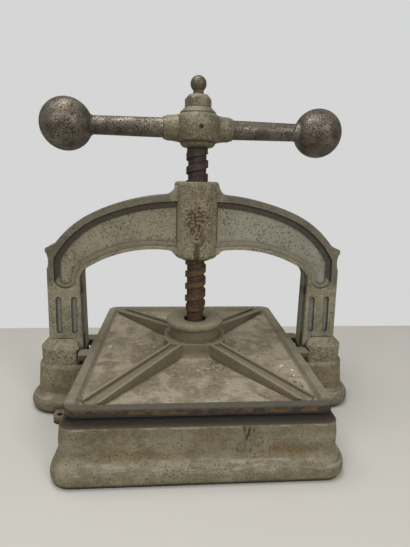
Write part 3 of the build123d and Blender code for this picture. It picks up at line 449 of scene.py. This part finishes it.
# Dirt on the platen
# Loose crumbs of rust and a few pale chips of plaster that have gathered on the sunk fields, along the
# ribs and by the boss.
crumb_seed = 5
rib_line = Vector((0.1017, 0.1295)).normalized()
rib_half_width = 0.0105
boss_keep_out = 0.046
field_half = Vector((0.107, 0.126))
crumb_heaps = [
    (0.018, -0.056, 0.007, 60, 0.0017),
    (0.084, -0.115, 0.011, 70, 0.0014),
    (0.101, -0.098, 0.006, 36, 0.0015),
    (0.010, -0.085, 0.030, 46, 0.0008),
    (-0.060, 0.015, 0.026, 60, 0.0010),
    (-0.045, 0.060, 0.024, 40, 0.0010),
    (0.070, 0.010, 0.030, 60, 0.0009),
    (0.060, -0.010, 0.018, 36, 0.0010),
    (0.0, 0.0, 0.085, 200, 0.0007),
]
chip_places = [
    (-0.104, 0.000, 0.0026), (-0.068, 0.008, 0.0016), (-0.050, -0.001, 0.0017), (0.001, -0.064, 0.0016),
    (0.096, -0.057, 0.0026), (0.106, -0.067, 0.0022), (0.104, -0.080, 0.0018), (0.030, -0.095, 0.0014),
]


def on_a_field(x, y):
    off_rib = min(abs(x * rib_line.y - y * rib_line.x), abs(x * rib_line.y + y * rib_line.x))
    inside = abs(x) < field_half.x and abs(y) < field_half.y
    return inside and off_rib > rib_half_width and hypot(x, y) > boss_keep_out


def uneven_ball(shape, radius, least, most):
    """Adds a small ball whose corners lie between least and most of the radius from its middle."""
    ball = bmesh.ops.create_icosphere(shape, subdivisions=1, radius=radius)["verts"]
    for vertex in ball:
        vertex.co *= chance.uniform(least, most)
    return ball


def lay_down(shape, ball, squash, place):
    """Squashes a ball, turns it by chance and moves it to its place."""
    bmesh.ops.scale(shape, verts=ball, vec=squash)
    spin = Matrix.Rotation(chance.uniform(0, pi), 3, "Z")
    bmesh.ops.rotate(shape, verts=ball, matrix=spin)
    bmesh.ops.translate(shape, verts=ball, vec=place)


def add_to_scene(shape, name):
    """Ends a shape in an object of the scene."""
    mesh = bpy.data.meshes.new(name)
    shape.to_mesh(mesh)
    shape.free()
    new = bpy.data.objects.new(name, mesh)
    bpy.context.scene.collection.objects.link(new)
    return new


chance = random.Random(crumb_seed)
crumbs = bmesh.new()
for heap_x, heap_y, spread, count, size in crumb_heaps:
    for _ in range(count):
        x = chance.gauss(heap_x, spread)
        y = chance.gauss(heap_y, spread)
        radius = size * chance.uniform(0.5, 1.3)
        if not on_a_field(x, y):
            continue
        crumb = uneven_ball(crumbs, radius, 0.7, 1.3)
        squash = (1, chance.uniform(0.6, 1), chance.uniform(0.5, 0.8))
        lay_down(crumbs, crumb, squash, (x, y, field_level + 0.35 * radius))
dirt_crumbs = add_to_scene(crumbs, "dirt_crumbs")

chips = bmesh.new()
for x, y, length in chip_places:
    chip = uneven_ball(chips, length, 0.75, 1.25)
    lay_down(chips, chip, (1, 0.55, 0.4), (x, y, field_level + 0.3 * length))
plaster_chips = add_to_scene(chips, "plaster_chips")

chip_finish = Finish("plaster")
chalk = chip_finish.step(chip_finish.cloud(0.002, 4.0), 0.35, 0.65)
colour = chip_finish.mix(chalk, tone(190, 182, 166), tone(226, 222, 212))
chip_material = chip_finish.close(colour, 0.9, 0.0, chip_finish.cloud(0.0008), 0.0003, 0.0003)
plaster_chips.data.materials.append(chip_material)
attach(plaster_chips, "platen")

crumb_finish = Finish("crumbs")
kind = crumb_finish.cloud(0.009, 2.0, shift=31.0)
colour = crumb_finish.mix(crumb_finish.step(kind, 0.42, 0.5), tone(96, 82, 62), tone(140, 128, 108))
colour = crumb_finish.mix(crumb_finish.step(kind, 0.66, 0.7), colour, tone(206, 198, 184))
crumb_material = crumb_finish.close(colour, 0.9, 0.0, crumb_finish.cloud(0.0008), 0.0003, 0.0003)
dirt_crumbs.data.materials.append(crumb_material)
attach(dirt_crumbs, "platen")

# Keeper ring
# A cast ring on the neck of the platen traps the foot of the screw. Two set screws lock its spigot,
# and the screw turns on a hard button below.
ring_finish = Finish("ring_dust")
colour, height, _ = old_paint(ring_finish, 0.3, 0.5)
colour = ring_finish.mix(0.45, colour, tone(110, 99, 78))
ring_material = ring_finish.close(colour, 0.8, 0.0, height, casting_relief, casting_edge)
dress(ring_material, "keeper_ring")
dress(steel_material, "left_keeper_screw", "right_keeper_screw", "thrust_button")

# Screw
# Turned steel with a coarse thread, brown all over with fine rust: ochre on the crest below the boss,
# dark and purplish above it, with a near-black painted shadow line under each turn of the thread.
thread_bottom = 0.126
lead = 0.015
thread_turn = -16.8 / 360
whole_turns = 10
crest_half = 0.236
crest_radius = 0.0124
root_radius = 0.0103
boss_top = 0.272
screw_finish = Finish("screw_rust")
from_axis = screw_finish.length(screw_finish.x, screw_finish.y)
around = screw_finish.node("Math", {"operation": "ARCTAN2"}, {0: screw_finish.y, 1: screw_finish.x})
turns = (screw_finish.z - thread_bottom) * (1 / lead) - around * (1 / (2 * pi))
turns = turns + (thread_turn + whole_turns + 0.5)
phase = screw_finish.node("Math", {"operation": "FRACT"}, {0: turns}) - 0.5
on_crest = screw_finish.step(from_axis, root_radius + 0.0004, crest_radius - 0.0005)
high = screw_finish.step(screw_finish.z, boss_top - 0.02, boss_top)
blot = screw_finish.step(screw_finish.cloud(0.004, 5.0), 0.36, 0.64)
ochre = screw_finish.mix(blot, tone(74, 55, 29), tone(98, 76, 42))
brown = screw_finish.mix(blot, tone(58, 42, 28), tone(78, 58, 40))
low_colour = screw_finish.mix(on_crest * screw_finish.step(phase, 0.26, 0.02), brown, ochre)
high_colour = screw_finish.mix(blot, tone(46, 34, 28), tone(66, 50, 42))
colour = screw_finish.mix(high, low_colour, high_colour)
# A near-black painted shadow line under each turn of the thread.
under = screw_finish.band(phase, -crest_half - 0.035, 0.02, 0.03)
colour = screw_finish.mix(0.9 * under, colour, tone(16, 11, 8))
crest_rub = on_crest * screw_finish.step(screw_finish.cloud(0.003, 5.0, shift=4.0), 0.55, 0.7)
colour = screw_finish.mix(0.15 * crest_rub, colour, tone(140, 118, 84))
height = 0.5 * screw_finish.cloud(0.0016, 5.0) + 0.5 * screw_finish.cloud(0.005, 3.0)
screw_material = screw_finish.close(colour, 0.66 - 0.15 * crest_rub, 0.2, height, 0.0009, 0.0007)
dress(screw_material, "spindle")

# Hub, its pin, washer and cap nut
# The cast hub sits on the head of the screw and is painted like the frame. A pin goes through both,
# and a washer and a cap nut with a ball finial hold it down.
hub_finish = Finish("hub_paint")
colour, height, worn = old_paint(hub_finish, 1.35, 0.6)
colour = hub_finish.mix(0.35, colour, tone(78, 72, 54))
hub_material = hub_finish.close(colour, 0.5 - 0.15 * worn, 0.3, height, casting_relief, casting_edge)
dress(hub_material, "handle_hub", "hub_washer")

cap_finish = Finish("cap_paint")
colour, height, _ = old_paint(cap_finish, 0.7, 0.8)
colour = cap_finish.mix(0.35, colour, tone(96, 84, 66))
ball_start = 0.3675
on_ball = cap_finish.step(cap_finish.z, ball_start, ball_start + 0.004)
colour = cap_finish.mix(0.75 * on_ball, colour, tone(84, 77, 66))
cap_material = cap_finish.close(
    colour, 0.58 - 0.14 * on_ball, 0.2 + 0.4 * on_ball, height, casting_relief, casting_edge
)
dress(cap_material, "cap_nut")

pin_finish = Finish("pin_rust")
blot = pin_finish.step(pin_finish.cloud(0.003, 4.0), 0.4, 0.6)
colour = pin_finish.mix(blot, tone(34, 28, 22), tone(60, 50, 40))
pin_material = pin_finish.close(colour, 0.6, 0.3, pin_finish.cloud(0.0012, 4.0), 0.0005, 0.0006)
dress(pin_material, "hub_pin")

# Arms
# Two cast arms, each in one piece with its ball weight. Hands have worn off the paint and polished
# the pitted iron to a dark grey-brown.
arm_finish = Finish("worn_iron")
cloudy = arm_finish.step(arm_finish.cloud(0.02, 4.0), 0.35, 0.66)
colour = arm_finish.mix(cloudy, tone(116, 108, 97), tone(84, 76, 66))
browned = arm_finish.step(arm_finish.cloud(0.010, 6.0, shift=6.0), 0.5, 0.64)
colour = arm_finish.mix(0.55 * browned, colour, tone(76, 60, 44))
pitted = arm_finish.step(arm_finish.cloud(0.03, 4.0, shift=9.0), 0.38, 0.62)
pits = arm_finish.dots(0.0019, 0.16 + 0.55 * pitted, shift=8.0)
small_pits = arm_finish.dots(0.0013, 0.25 + 0.4 * pitted, shift=5.0)
colour = arm_finish.mix(0.75 * pits, colour, tone(36, 30, 25))
colour = arm_finish.mix(0.5 * small_pits, colour, tone(46, 39, 33))
grain = arm_finish.cloud(0.0017, 4.0, shift=3.0)
height = 0.45 * grain - 0.8 * pits - 0.3 * small_pits + 0.4 * arm_finish.cloud(0.009, 3.0, shift=5.0)
roughness = 0.34 + 0.25 * pits + 0.16 * cloudy
arm_material = arm_finish.close(colour, roughness, 0.65, height, 0.0011, 0.0008)
dress(arm_material, "left_arm", "right_arm")

# Room
# A plain pale floor that ends at the foot of a plain pale wall, under large soft lamps.
floor_size = 3.2
floor_back = 0.249
floor_level = -0.0002
lamp_target = Vector((0, 0, 0.2))
wall_tone = tone(213, 214, 213)
floor_finish = bpy.data.materials.new("floor")
floor_finish.use_nodes = True
floor_shader = floor_finish.node_tree.nodes["Principled BSDF"]
floor_shader.inputs["Base Color"].default_value = tone(190, 187, 180)
floor_shader.inputs["Roughness"].default_value = 0.55
floor = bmesh.new()
corners = bmesh.ops.create_grid(floor, x_segments=1, y_segments=1, size=floor_size / 2)["verts"]
bmesh.ops.translate(floor, verts=corners, vec=(0, floor_back - floor_size / 2, floor_level))
floor_object = add_to_scene(floor, "floor")
floor_object.data.materials.append(floor_finish)

world = bpy.data.worlds.new("room")
world.use_nodes = True
bpy.context.scene.world = world
room = world.node_tree
room.nodes.clear()
seen = room.nodes.new("ShaderNodeLightPath")
straight = room.nodes.new("ShaderNodeMath")
straight.operation = "MAXIMUM"
room.links.new(seen.outputs["Is Camera Ray"], straight.inputs[0])
room.links.new(seen.outputs["Is Transmission Ray"], straight.inputs[1])
ambient = room.nodes.new("ShaderNodeBackground")
ambient.inputs["Color"].default_value = (1.0, 0.99, 0.95, 1)
ambient.inputs["Strength"].default_value = 0.3
backdrop = room.nodes.new("ShaderNodeBackground")
backdrop.inputs["Color"].default_value = wall_tone
either = room.nodes.new("ShaderNodeMixShader")
room.links.new(straight.outputs[0], either.inputs[0])
room.links.new(ambient.outputs[0], either.inputs[1])
room.links.new(backdrop.outputs[0], either.inputs[2])
sky = room.nodes.new("ShaderNodeOutputWorld")
room.links.new(either.outputs[0], sky.inputs["Surface"])

lamps = [
    ("ceiling_lamp", (-0.25, -0.1, 1.35), 0.8, 12.0),
    ("window_lamp", (-0.75, -1.35, 0.95), 0.8, 6.6),
    ("right_lamp", (0.75, -1.25, 1.0), 0.6, 10.5),
]
for name, place, size, power in lamps:
    lamp = bpy.data.lights.new(name, "AREA")
    lamp.size = size
    lamp.energy = power
    lamp_object = bpy.data.objects.new(name, lamp)
    lamp_object.location = place
    lamp_object.rotation_euler = (lamp_target - Vector(place)).to_track_quat("-Z", "Y").to_euler()
    bpy.context.scene.collection.objects.link(lamp_object)

bpy.context.scene.view_settings.view_transform = "Standard"
